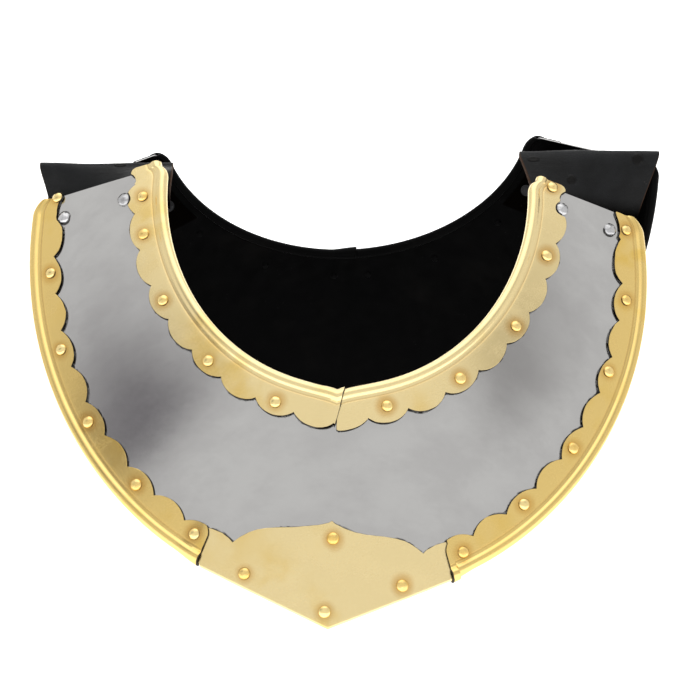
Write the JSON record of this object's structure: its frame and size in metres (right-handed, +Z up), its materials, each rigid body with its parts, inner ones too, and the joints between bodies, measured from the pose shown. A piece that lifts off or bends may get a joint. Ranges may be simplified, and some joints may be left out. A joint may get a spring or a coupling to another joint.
{
  "type": "steel gorget",
  "caption": "Wide neck and shoulder guard: crescent breast and back plates of steel with scalloped brass trims, black inside, joined by leather shoulder straps.",
  "frame": {"origin": "middle of the neck, at the height where the straps rest on the wearer's shoulders", "axes": "+Z up along the neck, -Y to the wearer's front, +X to the right as seen from the front"},
  "size_m": [0.3305, 0.2399, 0.2485],
  "materials": {
    "steel": "satin polished outside, black painted inside",
    "brass": "polished, with thin dark residue along the cut edges",
    "rivet_steel": "plain domed rivets, slightly dull",
    "leather": "black satin, raw brown cut edges"
  },
  "bodies": {
    "root": {"back_edge_trim_left": "brass", "back_edge_trim_right": "brass", "back_neck_trim_left": "brass", "back_neck_trim_right": "brass", "back_plate": "steel", "back_strap_rivet_left_1": "rivet_steel", "back_strap_rivet_left_2": "rivet_steel", "back_strap_rivet_right_1": "rivet_steel", "back_strap_rivet_right_2": "rivet_steel", "back_tip_plate": "brass", "back_washer_left_1": "rivet_steel", "back_washer_left_2": "rivet_steel", "back_washer_right_1": "rivet_steel", "back_washer_right_2": "rivet_steel", "front_edge_trim_left": "brass", "front_edge_trim_left_rivet_1": "brass", "front_edge_trim_left_rivet_2": "brass", "front_edge_trim_left_rivet_3": "brass", "front_edge_trim_left_rivet_4": "brass", "front_edge_trim_left_rivet_5": "brass", "front_edge_trim_left_rivet_6": "brass", "front_edge_trim_right": "brass", "front_edge_trim_right_rivet_1": "brass", "front_edge_trim_right_rivet_2": "brass", "front_edge_trim_right_rivet_3": "brass", "front_edge_trim_right_rivet_4": "brass", "front_edge_trim_right_rivet_5": "brass", "front_edge_trim_right_rivet_6": "brass", "front_neck_trim_left": "brass", "front_neck_trim_left_rivet_1": "brass", "front_neck_trim_left_rivet_2": "brass", "front_neck_trim_left_rivet_3": "brass", "front_neck_trim_left_rivet_4": "brass", "front_neck_trim_left_rivet_5": "brass", "front_neck_trim_right": "brass", "front_neck_trim_right_rivet_1": "brass", "front_neck_trim_right_rivet_2": "brass", "front_neck_trim_right_rivet_3": "brass", "front_neck_trim_right_rivet_4": "brass", "front_neck_trim_right_rivet_5": "brass", "front_plate": "steel", "front_strap_rivet_left_1": "rivet_steel", "front_strap_rivet_left_2": "rivet_steel", "front_strap_rivet_right_1": "rivet_steel", "front_strap_rivet_right_2": "rivet_steel", "front_tip_plate": "brass", "front_tip_plate_rivet_1": "brass", "front_tip_plate_rivet_2": "brass", "front_tip_plate_rivet_3": "brass", "front_tip_plate_rivet_4": "brass", "front_washer_left_1": "rivet_steel", "front_washer_left_2": "rivet_steel", "front_washer_right_1": "rivet_steel", "front_washer_right_2": "rivet_steel", "leather_strap_left": "leather", "leather_strap_right": "leather"}
  },
  "joints": []
}
